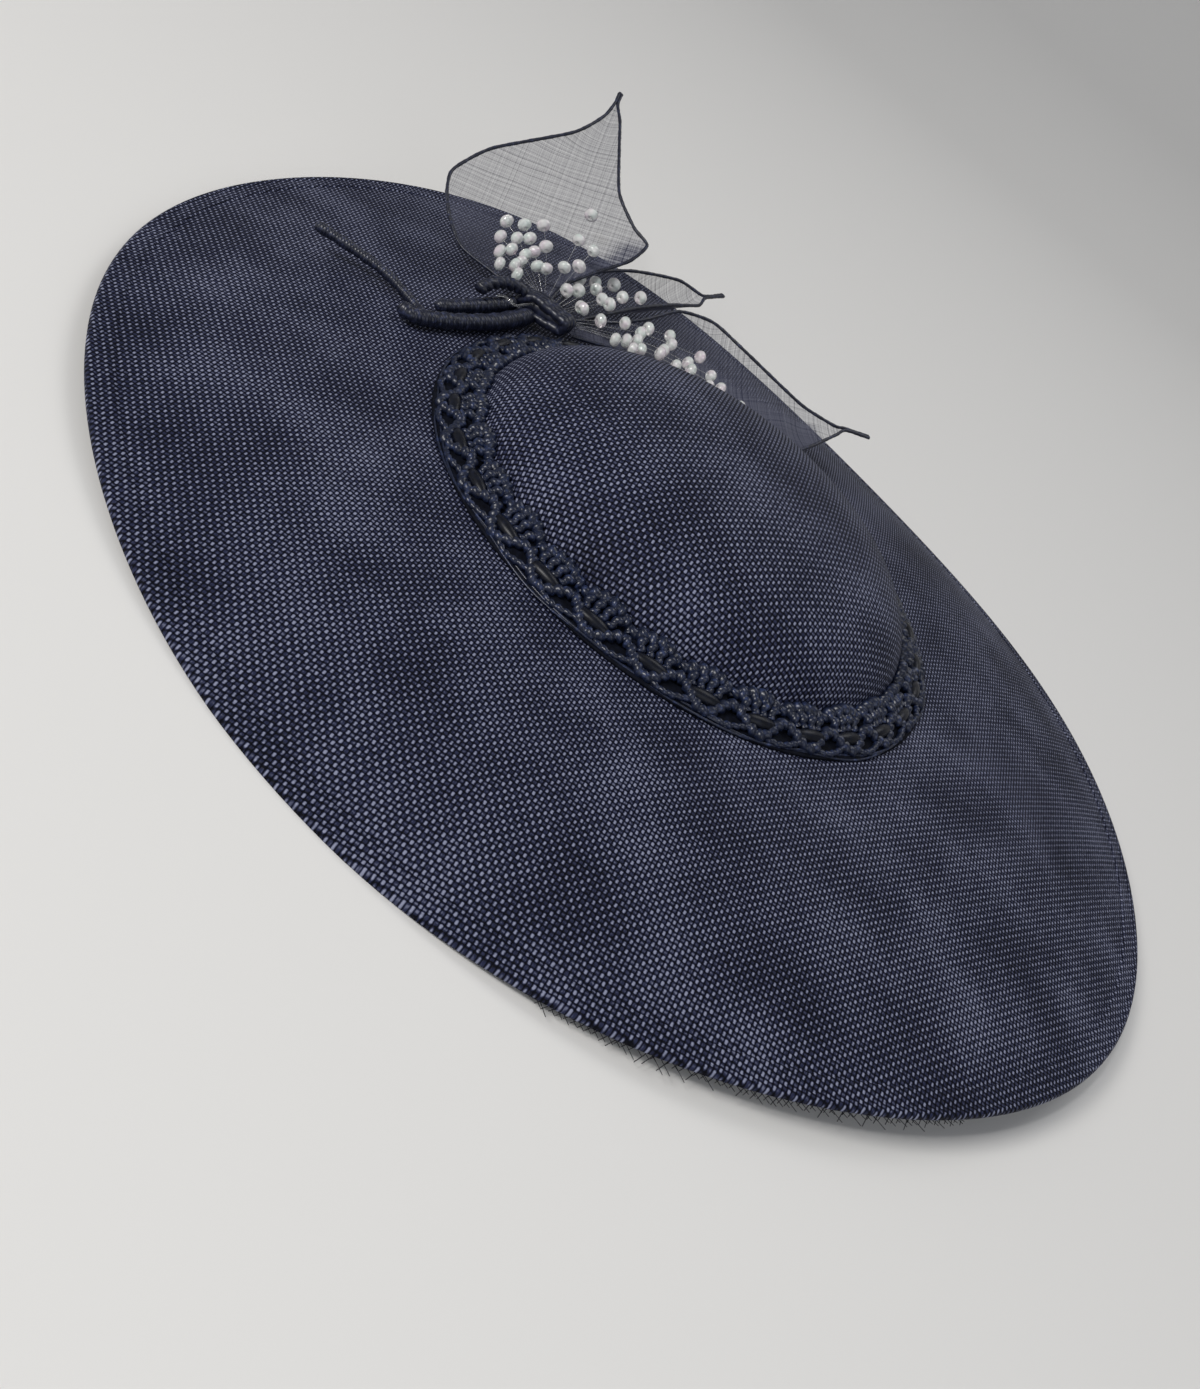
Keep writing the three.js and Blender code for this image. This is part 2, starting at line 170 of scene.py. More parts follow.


# Plain weave: the height of the upper thread at each place, from the cloth coordinates. The colour is
# painted light from that height: painted shade low in the gaps, and painted highlights on the crowns of the
# floats, stronger on the warp than on the weft
def straw_material():
    nodes = Nodes("straw_weave")
    vector, (u, v, _) = nodes.attribute("weave")
    u = nodes.math("DIVIDE", u, WEAVE_PITCH[0] * MM)
    v = nodes.math("DIVIDE", v, WEAVE_PITCH[1] * MM)

    def thread(across, along, flip):
        nearest = nodes.math("ROUND", across)
        parity = nodes.math("PINGPONG", nearest, 1.0)
        sign = nodes.math("MULTIPLY_ADD", parity, -2.0 * flip, 1.0 * flip)
        wave = nodes.math("COSINE", nodes.math("MULTIPLY", along, math.pi))
        rise = nodes.math("MULTIPLY", nodes.math("MULTIPLY", wave, THREAD_SWING), sign)
        rise = nodes.math("MAXIMUM", nodes.math("MINIMUM", rise, 1.0), -1.0)
        offset = nodes.math("SUBTRACT", across, nearest)
        square = nodes.math("MULTIPLY", offset, offset)
        body = nodes.math("SUBTRACT", 1.0, nodes.math("MULTIPLY", square, THREAD_ROUND))
        return nodes.math("ADD", nodes.math("MULTIPLY", rise, 0.5), nodes.math("MULTIPLY", body, 0.5))

    warp = thread(u, v, 1)
    weft = thread(v, u, -1)
    height = nodes.math("MAXIMUM", warp, weft)
    cloud = nodes.noise(vector, 28.0, 3.0)
    fleck = nodes.noise(vector, 900.0, 1.0)
    lift = nodes.math("MULTIPLY_ADD", cloud, 0.5, -0.25)
    # Painted light factor: the warp floats take the painted highlight in full and the weft floats less of
    # it, while the gaps fall to painted shade; random clouds and flecks of tone are added on top
    light = nodes.math("ADD", nodes.math("MAXIMUM", warp, nodes.math("MULTIPLY", weft, WEFT_GLINT_SHARE)), lift)
    light = nodes.math("ADD", light, nodes.math("MULTIPLY_ADD", fleck, 0.6, -0.3))
    # Ramp from painted shade in the gaps, through the thread's navy, to a painted highlight on the floats
    color = nodes.ramp(light, [(0.35, STRAW_GAP_SHADE), (0.7, STRAW_NAVY), (1.02, STRAW_PAINTED_GLINT)])
    nodes.join(color, nodes.shader.inputs["Base Color"])
    nodes.join(nodes.math("MULTIPLY_ADD", height, -0.4, 0.85), nodes.shader.inputs["Roughness"])
    nodes.set(Specular_IOR_Level=0.1)
    nodes.bump(height, 0.35, 0.8)
    return nodes.material


# Wound thread: one colour with darker and brighter flecks at random. The brighter flecks, several times the
# colour, are partly the thread's own tone and partly painted glints on the wound thread
def thread_material(name, color, roughness, fleck_glint_share, gloss=0.5):
    nodes = Nodes(name)
    fleck = nodes.noise(nodes.position(), 650.0, 3.0)
    dark = tuple(0.45 * c for c in color)
    # Brighter flecks: partly the thread's own tone, partly painted glints
    fleck_glint = tuple(fleck_glint_share * c for c in color)
    mixed = nodes.ramp(fleck, [(0.3, dark), (0.55, color), (0.8, fleck_glint)])
    nodes.join(mixed, nodes.shader.inputs["Base Color"])
    nodes.set(Roughness=roughness, Specular_IOR_Level=gloss)
    nodes.bump(fleck, 0.08, 0.5)
    return nodes.material


ORGANZA_PITCH = 0.8
DENSE_ALPHA = 0.45
ORGANZA_THIN = (0.12, 0.125, 0.165)
ORGANZA_THICK = (0.018, 0.02, 0.042)


# Sheer cloth: threads both ways, bunched here and there, with clear gaps between them
def organza_material():
    nodes = Nodes("organza")
    _, (u, v, density) = nodes.attribute("weave")

    def lines(coordinate, pitch, bunch, seed):
        stretched = nodes.add("ShaderNodeCombineXYZ")
        nodes.join(nodes.math("MULTIPLY_ADD", coordinate, 1.0, seed), stretched.inputs[0])
        bundle = nodes.noise(stretched.outputs[0], bunch, 2.0)
        wave = nodes.math("SINE", nodes.math("MULTIPLY", coordinate, TURN / (pitch * MM)))
        fine = nodes.math("MULTIPLY_ADD", wave, 0.1, 0.1)
        return nodes.math("ADD", nodes.math("MULTIPLY", nodes.math("POWER", bundle, 3.0), 2.4), fine)

    along = lines(u, ORGANZA_PITCH, 1100.0, 0.31)
    across = lines(v, ORGANZA_PITCH, 900.0, 0.77)
    cloth = nodes.math("ADD", nodes.math("MULTIPLY", along, 0.7), across)
    alpha = nodes.math("MULTIPLY_ADD", cloth, 0.56, 0.04)
    alpha = nodes.math("ADD", alpha, nodes.math("MULTIPLY", density, DENSE_ALPHA / MM))
    alpha = nodes.math("MINIMUM", nodes.math("MAXIMUM", alpha, 0.16), 0.97)
    nodes.join(alpha, nodes.shader.inputs["Alpha"])
    color = nodes.ramp(cloth, [(0.35, ORGANZA_THIN), (1.1, ORGANZA_THICK)])
    nodes.join(color, nodes.shader.inputs["Base Color"])
    nodes.set(Roughness=0.55, Specular_IOR_Level=0.25)
    return nodes.material


# Clear glass with a faint coat that shifts from green to pink
def bead_material():
    nodes = Nodes("bead_glass")
    tint = nodes.noise(nodes.position(), 260.0, 1.0)
    color = nodes.ramp(tint, [
        (0.3, (0.86, 0.95, 0.9)),
        (0.5, (1.0, 1.0, 0.98)),
        (0.7, (1.0, 0.88, 0.95)),
    ])
    nodes.join(color, nodes.shader.inputs["Base Color"])
    nodes.set(Roughness=0.04, Transmission_Weight=0.5, IOR=1.5, Coat_Weight=1.0, Coat_Roughness=0.02)
    return nodes.material


def plain_material(name, color, roughness, **values):
    nodes = Nodes(name)
    nodes.set(Base_Color=(*color, 1.0), Roughness=roughness, **values)
    return nodes.material


# Mesh helpers
def add_piece(name, points, faces, material, node=None, weave=None):
    mesh = bpy.data.meshes.new(name)
    mesh.from_pydata((np.asarray(points) * MM).tolist(), [], faces)
    mesh.materials.append(material)
    mesh.polygons.foreach_set("use_smooth", [True] * len(mesh.polygons))
    if weave is not None:
        layer = mesh.attributes.new("weave", "FLOAT_VECTOR", "POINT")
        layer.data.foreach_set("vector", (np.asarray(weave) * MM).ravel())
    mesh.update()
    piece = bpy.data.objects.new(name, mesh)
    bpy.context.collection.objects.link(piece)
    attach(piece, "root")
    if node:
        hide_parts(node)
    return piece


def turn_out(points, faces):
    """Faces turned round where the closed shape's volume comes out negative"""
    points = np.asarray(points)
    triangles = np.array([(face[0], *pair) for face in faces for pair in zip(face[1:], face[2:])])
    a, b, c = (points[triangles[:, k]] for k in range(3))
    volume = np.einsum("ij,ij", a, np.cross(b, c))
    return faces if volume > 0 else [face[::-1] for face in faces]


def grid_faces(rows, columns, wrap_rows=False, wrap_columns=False, start=0):
    faces = []
    for row in range(rows if wrap_rows else rows - 1):
        for column in range(columns if wrap_columns else columns - 1):
            right = (column + 1) % columns
            below = (row + 1) % rows
            faces.append((
                start + row * columns + column,
                start + row * columns + right,
                start + below * columns + right,
                start + below * columns + column,
            ))
    return faces


class Shape:
    """Points and faces of several closed forms that make one piece"""

    def __init__(self):
        self.points = []
        self.faces = []

    def add(self, points, faces):
        start = len(self.points)
        faces = turn_out(points, faces)
        self.points.extend(np.asarray(points).tolist())
        self.faces.extend(tuple(start + k for k in face) for face in faces)

    def tube(self, path, radius, sides=CORD_SIDES, closed=False):
        """A tube along a path, its radius a number or a function of distance and angle"""
        path = np.asarray(path, float)
        count = len(path)
        if closed:
            ahead = np.roll(path, -1, 0) - np.roll(path, 1, 0)
        else:
            ahead = np.gradient(path, axis=0)
        ahead /= np.linalg.norm(ahead, axis=1)[:, None]
        distance = np.r_[0, np.cumsum(np.linalg.norm(np.diff(path, axis=0), axis=1))]
        up = np.array([0.0, 0.0, 1.0])
        if abs(ahead[0] @ up) > 0.9:
            up = np.array([1.0, 0.0, 0.0])
        points = []
        angles = np.arange(sides) / sides * TURN
        for k in range(count):
            up = up - ahead[k] * (ahead[k] @ up)
            up /= np.linalg.norm(up)
            side = np.cross(ahead[k], up)
            size = radius(distance[k], angles) if callable(radius) else np.full(sides, radius)
            ring = path[k] + size[:, None] * (np.cos(angles)[:, None] * side + np.sin(angles)[:, None] * up)
            points.extend(ring.tolist())
        faces = grid_faces(count, sides, wrap_rows=closed, wrap_columns=True)
        if not closed:
            faces.append(tuple(range(sides))[::-1])
            faces.append(tuple((count - 1) * sides + k for k in range(sides)))
        self.add(points, faces)

    def ball(self, centre, axis, radius, length, sides=12, rings=7, hole=0.0):
        """A flattened ball about an axis, with a hole along it where one is given"""
        axis = np.asarray(axis) / np.linalg.norm(axis)
        side = np.cross(axis, [0.0, 0.0, 1.0] if abs(axis[2]) < 0.9 else [1.0, 0.0, 0.0])
        side /= np.linalg.norm(side)
        up = np.cross(axis, side)
        points = []
        first = math.asin((hole / radius) ** (1 / BALL_POWER)) if hole else math.pi / (2 * rings)
        for tilt in np.linspace(first, math.pi - first, rings):
            along = -math.cos(tilt) * length / 2
            out = math.sin(tilt) ** BALL_POWER * radius
            for k in range(sides):
                angle = k / sides * TURN
                points.append(centre + axis * along + out * (side * math.cos(angle) + up * math.sin(angle)))
        faces = grid_faces(rings, sides, wrap_rows=hole > 0, wrap_columns=True)
        if not hole:
            faces.append(tuple(range(sides))[::-1])
            faces.append(tuple((rings - 1) * sides + k for k in range(sides)))
        self.add(points, faces)


def smooth_path(points, step):
    """A Catmull-Rom curve through points, at about equal steps"""
    points = np.asarray(points, float)
    padded = np.vstack([2 * points[0] - points[1], points, 2 * points[-1] - points[-2]])
    fine = []
    for k in range(len(points) - 1):
        p0, p1, p2, p3 = padded[k:k + 4]
        t = np.linspace(0, 1, 40, endpoint=False)[:, None]
        fine.append(0.5 * (2 * p1 + (p2 - p0) * t + (2 * p0 - 5 * p1 + 4 * p2 - p3) * t ** 2
                           + (3 * p1 - p0 - 3 * p2 + p3) * t ** 3))
    fine = np.vstack([*fine, points[-1:]])
    distance = np.r_[0, np.cumsum(np.linalg.norm(np.diff(fine, axis=0), axis=1))]
    count = max(3, int(round(distance[-1] / step)) + 1)
    at = np.linspace(0, distance[-1], count)
    return np.stack([np.interp(at, distance, fine[:, axis]) for axis in range(points.shape[1])], 1)


def wound(radius, pitch, depth, turns=1):
    """Radius of a thread-wound cord: ridges that run round it as a helix"""
    def size(distance, angles):
        phase = distance / pitch * math.pi + turns * angles / 2
        lump = 1 + 0.06 * math.sin(distance * 0.7) + 0.05 * math.sin(distance * 1.9 + 1)
        return radius * lump * (1 - depth + depth * np.abs(np.sin(phase)) ** 0.7)
    return size


# Brim
def rim_radius(angle):
    return RIM_RADIUS - RIM_OVAL * np.sin(2 * angle)


def rim_height(angle):
    return sum(c * np.cos(k * angle) + s * np.sin(k * angle) for k, c, s in RIM_WAVES)


def brim_point(radius, angle):
    rim = rim_radius(angle)
    share = np.maximum(0, (radius - BRAID_RADIUS) / (rim - BRAID_RADIUS))
    shift = CROWN_X * (1 - np.minimum(1, share))
    height = BRIM_RISE * (1 - share ** BRIM_CURVE) + rim_height(angle) * share ** 2
    return np.array([shift + radius * np.cos(angle), radius * np.sin(angle), height + RIM_LIFT])


def weave_place(x, y):
    turn = math.radians(WEAVE_TURN)
    return [x * math.cos(turn) + y * math.sin(turn), y * math.cos(turn) - x * math.sin(turn), 0.0]


def brim_section(angle):
    """Outline of the brim's wall: out along the top, round the wired edge and back underneath"""
    rim = rim_radius(angle)
    hem = rim - HEM_WIDTH
    flat = np.linspace(CROWN_RADIUS + CROWN_GAP, hem - 2 * FOLD_DIP, BRIM_ROWS)
    half = BRIM_WALL / 2
    full = HEM_WALL / 2
    side = [(radius, half) for radius in flat]
    side += [(hem - FOLD_DIP, half - HEM_GROOVE), (hem, half - HEM_GROOVE / 2), (hem + FOLD_RISE, full)]
    side += [(rim - inward, full + rise) for inward, rise in HEM_PROFILE]
    edge = []
    for k in range(1, EDGE_ARCS):
        turn = math.pi * k / EDGE_ARCS
        edge.append((rim - EDGE_WIRE + EDGE_WIRE * math.sin(turn), EDGE_WIRE * math.cos(turn)))
    below = [(radius, -offset) for radius, offset in reversed(side)]
    points = []
    for radius, offset in side + edge + below:
        point = brim_point(radius, angle)
        point[2] = max(0.0, point[2] + offset)
        points.append(point)
    return points


def make_brim(material):
    points = []
    for k in range(BRIM_COLUMNS):
        points.extend(brim_section(k / BRIM_COLUMNS * TURN))
    rows = len(points) // BRIM_COLUMNS
    faces = grid_faces(BRIM_COLUMNS, rows, wrap_rows=True, wrap_columns=True)
    faces = turn_out(points, faces)
    weave = [weave_place(x, y) for x, y, _ in points]
    return add_piece("brim_straw", points, faces, material, "brim", weave)


# Crown
def dome(radius, height):
    rows = []
    for k in range(CROWN_ROWS + 1):
        angle = k / CROWN_ROWS * math.pi / 2
        out = radius * math.sin(angle) ** (2 / CROWN_POWER)
        up = height * max(0.0, math.cos(angle)) ** (2 / CROWN_POWER)
        rows.append((out, BRIM_RISE + RIM_LIFT + up))
    rows.append((radius, BRIM_RISE + RIM_LIFT - CROWN_FOOT))
    return rows


def make_crown(material):
    outside = dome(CROWN_RADIUS, CROWN_HEIGHT)[1:]
    inside = dome(CROWN_RADIUS - CROWN_WALL, CROWN_HEIGHT - CROWN_WALL)[1:]
    points = []
    weave = []
    loops = []
    for profile in (outside, inside):
        top = profile[0][1] + CROWN_PEAK
        start = len(points)
        points.append((CROWN_X, 0.0, top))
        weave.append([0.0, 0.0, 0.0])
        arc = 0.0
        last = (0.0, top)
        for out, up in profile:
            arc += math.hypot(out - last[0], up - last[1])
            last = (out, up)
            for k in range(CROWN_COLUMNS):
                angle = k / CROWN_COLUMNS * TURN
                points.append((CROWN_X + out * math.cos(angle), out * math.sin(angle), up))
                cloth = arc / CROWN_STRETCH
                weave.append(weave_place(cloth * math.cos(angle), cloth * math.sin(angle)))
        loops.append(start)
    faces = []
    rows = len(outside)
    for start, flip in zip(loops, (False, True)):
        ring = [start + 1 + k for k in range(CROWN_COLUMNS)]
        cap = [(start, ring[k], ring[(k + 1) % CROWN_COLUMNS]) for k in range(CROWN_COLUMNS)]
        sides = [face[::-1] for face in grid_faces(rows, CROWN_COLUMNS, wrap_columns=True, start=start + 1)]
        faces += [face[::-1] for face in cap + sides] if flip else cap + sides
    outer_foot = loops[0] + 1 + (rows - 1) * CROWN_COLUMNS
    inner_foot = loops[1] + 1 + (rows - 1) * CROWN_COLUMNS
    for k in range(CROWN_COLUMNS):
        after = (k + 1) % CROWN_COLUMNS
        faces.append((outer_foot + k, inner_foot + k, inner_foot + after, outer_foot + after))
    return add_piece("crown_straw", points, faces, material, "crown", weave)


# Braid
def crown_radius_at(height):
    share = height / CROWN_HEIGHT
    return CROWN_RADIUS * (1 - share ** CROWN_POWER) ** (1 / CROWN_POWER)


def braid_place(turn, radius, height):
    """A place on the braid: turn in units of the pattern, radius, and height above the crown's foot"""
    angle = turn / BRAID_UNITS * TURN
    return np.array([
        CROWN_X + radius * math.cos(angle),
        radius * math.sin(angle),
        BRIM_RISE + RIM_LIFT + height,
    ])


def lobe_at(turn):
    return abs(math.sin(turn * math.pi)) ** LOBE_POWER


def scallop_place(turn, lobe_size=1.0):
    height = BRAID_TOP - ARCH_DROP + BRAID_LOBE * lobe_size * lobe_at(turn)
    return braid_place(turn, crown_radius_at(height) + ARCH_OUT, height)


ARCH_DROP = 0.6
ARCH_OUT = 1.5
# Cords of the braid: radius, ridge pitch and ridge depth
ARCH_CORD = (2.3, 3.1, 0.55)
FAN_CORD = (1.75, 2.9, 0.5)
SNAKE_CORD = (2.0, 3.0, 0.55)
ROPE_CORD = (1.2, 2.6, 0.5)
RIDGE_STEP = 0.4
EDGE_STEPS = 44
ARCH_ENDS = (0.02, 0.98)
ARCH_POINTS = 15
# Fan under each arch: ribs, their ends on the arch, share of that width at the foot, and the foot's place
FAN_RIBS = 4
FAN_ENDS = (0.16, 0.84)
FAN_NARROW = 0.66
FAN_FOOT = (92.6, 4.6)
FAN_BULGE = 0.9
# Pad between the fan and the snake: place, radius and length
PAD_PLACE = (94.9, 4.2)
PAD_RADIUS = 2.3
PAD_LENGTH = 12.5
PAD_AHEAD = 0.02
# Waves of the snake and the rope: radius and its swing, height and its swing
SNAKE_WAVE = (96.0, 2.9, 3.9, 1.3)
ROPE_WAVE = (98.7, 1.1, 2.7, 0.5)
ROPE_PHASE = 0.6
# Plain strands on the outer edge: radius of the ring, height and thickness
EDGE_STRANDS = [(99.9, 2.0, 0.45), (100.6, 1.7, 0.4)]
STRAND_STEPS = 16
STRAND_SWAY = 0.8
STRAND_BOB = 0.3
TAPE_STEPS = 8
TAPE_DROP = 1.4


def make_braid(cord, satin, tape):
    cords = Shape()
    pads = Shape()
    for unit in range(BRAID_UNITS):
        lobe_size = random.uniform(0.82, 1.18)
        lean = random.uniform(-0.07, 0.07)
        places = [scallop_place(unit + t, lobe_size) for t in np.linspace(*ARCH_ENDS, ARCH_POINTS)]
        cords.tube(smooth_path(places, RIDGE_STEP), wound(*ARCH_CORD), 10)
        for t in np.linspace(*FAN_ENDS, FAN_RIBS):
            high = scallop_place(unit + t, lobe_size)
            foot = 0.5 + lean + (t - 0.5) * FAN_NARROW
            low = braid_place(unit + foot, FAN_FOOT[0] + random.uniform(-0.5, 0.5), FAN_FOOT[1])
            middle = (high + low) / 2 + np.array([0, 0, FAN_BULGE + random.uniform(-0.2, 0.3)])
            cords.tube(smooth_path([high, middle, low], RIDGE_STEP), wound(*FAN_CORD), 8)
        middle = braid_place(unit + 0.5 + lean, *PAD_PLACE)
        ahead = braid_place(unit + 0.5 + PAD_AHEAD + lean, *PAD_PLACE)
        pads.ball(middle, ahead - middle, PAD_RADIUS, PAD_LENGTH, 14, 12)
    turns = np.arange(BRAID_UNITS * EDGE_STEPS) / EDGE_STEPS
    radius, swing, height, lift = SNAKE_WAVE
    snake = [
        braid_place(t, radius - swing * math.cos(t * TURN), height + lift * math.cos(t * TURN))
        for t in turns
    ]
    cords.tube(snake, wound(*SNAKE_CORD), 10, closed=True)
    radius, swing, height, lift = ROPE_WAVE
    rope = [
        braid_place(t, radius + swing * math.cos(t * TURN + ROPE_PHASE), height + lift * math.sin(t * TURN))
        for t in turns
    ]
    cords.tube(rope, wound(*ROPE_CORD), 8, closed=True)
    turns = np.arange(BRAID_UNITS * STRAND_STEPS) / STRAND_STEPS
    for radius, height, size in EDGE_STRANDS:
        strand = []
        for t in turns:
            sway = STRAND_SWAY * math.sin(t * TURN / 3 + radius * 2)
            bob = STRAND_BOB * math.sin(t * TURN / 2)
            strand.append(braid_place(t, radius + sway, height + bob))
        cords.tube(strand, size, 6, closed=True)
    add_piece("braid_cords", cords.points, cords.faces, cord, "braid")
    add_piece("braid_pads", pads.points, pads.faces, satin)
    backing = Shape()
    columns = BRAID_UNITS * TAPE_STEPS
    points = []
    for k in range(columns):
        turn = k / TAPE_STEPS
        lobe = lobe_at(turn)
        top = BRAID_TOP - TAPE_DROP + BRAID_LOBE * lobe
        inner = crown_radius_at(top) + 0.5
        section = [
            (CROWN_RADIUS + 1, 1.1),
            (inner, top),
            (inner + 0.8, top + 0.2),
            (FAN_FOOT[0], 3.4 + 0.6 * lobe),
            (98.5, 2.0),
            (BRAID_RADIUS, 1.7),
            (BRAID_RADIUS + 0.3, 1.1),
        ]
        points.extend(braid_place(turn, radius, height) for radius, height in section)
    backing.add(points, grid_faces(columns, len(section), wrap_rows=True, wrap_columns=True))
    add_piece("braid_tape", backing.points, backing.faces, tape)


# Leaves: base, heading in degrees and a row for each section
# Columns: along, left, right, then the heights of the left edge, the middle and the right edge
LEAVES = {
    "leaf_1": ((-106, 55.6), 113.4, [
        (0, -8, 2, 20, 20, 20),
        (13, -33, 7, 18, 22, 27),
        (25, -42, 17, 21, 26, 34),
        (35, -47, 27, 25, 31, 41),
        (44, -49, 31, 29, 36, 47),
        (51, -47, 24, 32, 39, 48),
        (65, -38, 14, 40, 45, 52),
        (87, -12, 8, 56, 56, 60),
        (102, -3, 4, 64, 64, 66),
        (111, -0.7, 0.7, 69, 69, 69),
        (116, -0.6, 0.6, 72, 72, 72),
    ]),
    "leaf_2": ((-95.5, 53.2), 78.3, [
        (0, -4, 2, 21, 20, 21),
        (20, -12, 4.5, 24, 18.5, 26),
        (46, -20, 4, 26, 17, 28),
        (71, -17, 5, 29, 18.5, 29.5),
        (96, -8, 6, 31, 25, 29),
        (106, 1.3, 2.9, 30, 30, 30),
        (124, 1.4, 2.6, 30, 30, 30),
    ]),
    "leaf_3": ((-89, 54.3), 42.4, [
        (0, -4, 2.5, 21, 20, 20),
        (31, -14, 7, 30, 23, 25.5),
        (52, -28, 11, 34, 21, 25),
        (70, -30, 15, 35, 21, 24),
        (83, -20, 21, 34, 22, 23.5),
        (98, -9, 27, 32, 24, 23),
        (112, -1, 19, 30, 25.5, 24.5),
        (129, 2, 7, 29, 28.5, 28),
        (136, 0.3, 1.7, 29, 29, 29),
        (149, 0.4, 1.6, 30, 30, 30),
    ]),
}
LEAF_ACROSS = 15
LEAF_STEPS = 7
LEAF_TENSION = 0.7
LEAF_RIPPLE = 0.35
# Edging of the leaves: radius, ridge pitch and ridge depth
LEAF_EDGE = (0.75, 0.85, 0.3)
LEAF_EDGE_STEP = 0.28
# Rolled or doubled cloth: the share of the width where it begins, and how far along it reaches
LEAF_BANDS = {"leaf_1": (0.84, 46), "leaf_2": (0.8, 100), "leaf_3": (0.3, 120)}
BAND_FADE = 0.08
BAND_END_FADE = 6


def leaf_rows(rows):
    """Finer rows between those of the table, on a curve that keeps to them"""
    rows = np.asarray(rows, float)
    fine = []
    for k in range(len(rows) - 1):
        before = rows[max(0, k - 1)]
        after = rows[min(len(rows) - 1, k + 2)]
        for t in np.arange(LEAF_STEPS) / LEAF_STEPS:
            start = (rows[k + 1] - before) / 2 * LEAF_TENSION
            end = (after - rows[k]) / 2 * LEAF_TENSION
            fine.append(
                (2 * t ** 3 - 3 * t ** 2 + 1) * rows[k] + (t ** 3 - 2 * t ** 2 + t) * start
                + (3 * t ** 2 - 2 * t ** 3) * rows[k + 1] + (t ** 3 - t ** 2) * end
            )
    fine.append(rows[-1])
    return fine


def leaf_density(name, along, v):
    """How much closer the threads lie: 1 where the margin is rolled over or the cloth is doubled"""
    begins, reach = LEAF_BANDS[name]
    rolled = min(1.0, max(0.0, (v - begins) / BAND_FADE))
    return rolled * min(1.0, max(0.0, (reach - along) / BAND_END_FADE))


def make_leaf(name, base, heading, rows, cloth, edging):
    turn = math.radians(heading)
    ahead = np.array([math.cos(turn), math.sin(turn)])
    right = np.array([math.sin(turn), -math.cos(turn)])
    points = []
    weave = []
    fine = leaf_rows(rows)
    for along, low, high, z_left, z_middle, z_right in fine:
        for v in np.linspace(0, 1, LEAF_ACROSS):
            across = low + (high - low) * v
            place = np.array(base) + along * ahead + across * right
            z = z_left * (1 - v) * (1 - 2 * v) + 4 * z_middle * v * (1 - v) + z_right * v * (2 * v - 1)
            ripple = LEAF_RIPPLE * math.sin(along * 0.37 + across * 0.21) * math.sin(v * math.pi)
            points.append((*place, z + RIM_LIFT + ripple))
            weave.append((across, along, leaf_density(name, along, v)))
    count = len(fine)
    faces = grid_faces(count, LEAF_ACROSS)
    sheet = add_piece(f"{name}_cloth", points, faces, cloth, name, weave)
    grid = np.array(points).reshape(count, LEAF_ACROSS, 3)
    border = np.vstack([grid[:, 0], grid[::-1, -1]])
    hem = Shape()
    hem.tube(smooth_path(border, LEAF_EDGE_STEP), wound(*LEAF_EDGE), 7)
    edge = add_piece(f"{name}_edge", hem.points, hem.faces, edging)


# Sprays: a row for each strand, from left to right on the spray's tied root
# Columns: heading and rise in degrees, reach, distance to the first bead, beads
SPRAYS = {
    "spray_1": ((-106, 53.2, 24.4), [
        (200, 3, 18, 8, 2),
        (185, 9, 22, 12, 2),
        (172, 13, 28, 13, 3),
        (162, 18, 34, 16, 3),
        (150, 22, 33, 12, 4),
        (137, 27, 34, 12, 3),
        (109, 31, 48, 16, 3),
        (96, 34, 33, 20, 2),
    ]),
    "spray_2": ((-97.4, 53.2, 24.6), [
        (98, 6, 32, 13, 2),
        (91, 6, 38, 18, 2),
        (86, 6, 47, 28, 2),
        (75, 7, 53, 24, 3),
        (69, 13, 27, 9, 2),
        (60, 26, 13, 8, 1),
    ]),
    "spray_3": ((-89.6, 53.2, 24), [
        (52, 8, 50, 14, 4),
        (45, 6, 62, 30, 3),
        (38, 4, 65, 27, 4),
        (32, 4, 67, 21, 4),
        (26, 4, 74, 26, 4),
        (14, 14, 24, 14, 2),
    ]),
}
STRAND_PITCH = 1.1
STRAND_RADIUS = 0.1
STRAND_STEP = 0.5
STRAND_ARCH = 0.05
BEAD_RADIUS = 2.75
BEAD_LENGTH = 4.0
BEAD_HOLE = 0.55
BEAD_FROM_TIP = 2.4
BEAD_RANGE = (0.92, 1.05)
BEAD_SIDES = 16
BEAD_RINGS = 9


def make_spray(name, root, strands, glass, nylon):
    beads = Shape()
    lines = Shape()
    width = len(strands) * STRAND_PITCH
    for k, (heading, rise, reach, first, count) in enumerate(strands):
        start = np.array(root, float) + [(k + 0.5) * STRAND_PITCH - width / 2, 0, RIM_LIFT]
        turn = math.radians(heading)
        lift = math.radians(rise)
        flat = reach * math.cos(lift)
        tip = start + [flat * math.cos(turn), flat * math.sin(turn), reach * math.sin(lift)]
        middle = (start + tip) / 2 + [0, 0, reach * STRAND_ARCH]
        path = smooth_path([start, middle, tip], STRAND_STEP)
        lines.tube(path, STRAND_RADIUS, 6)
        for bead in range(count):
            share = 0 if count == 1 else bead / (count - 1)
            at = first + (reach - BEAD_FROM_TIP - first) * share
            index = min(len(path) - 2, int(at / reach * (len(path) - 1)))
            size = BEAD_RADIUS * random.uniform(*BEAD_RANGE)
            ahead = path[index + 1] - path[index]
            beads.ball(path[index], ahead, size, BEAD_LENGTH, BEAD_SIDES, BEAD_RINGS, BEAD_HOLE)
    add_piece(f"{name}_beads", beads.points, beads.faces, glass, name)
    add_piece(f"{name}_filaments", lines.points, lines.faces, nylon)


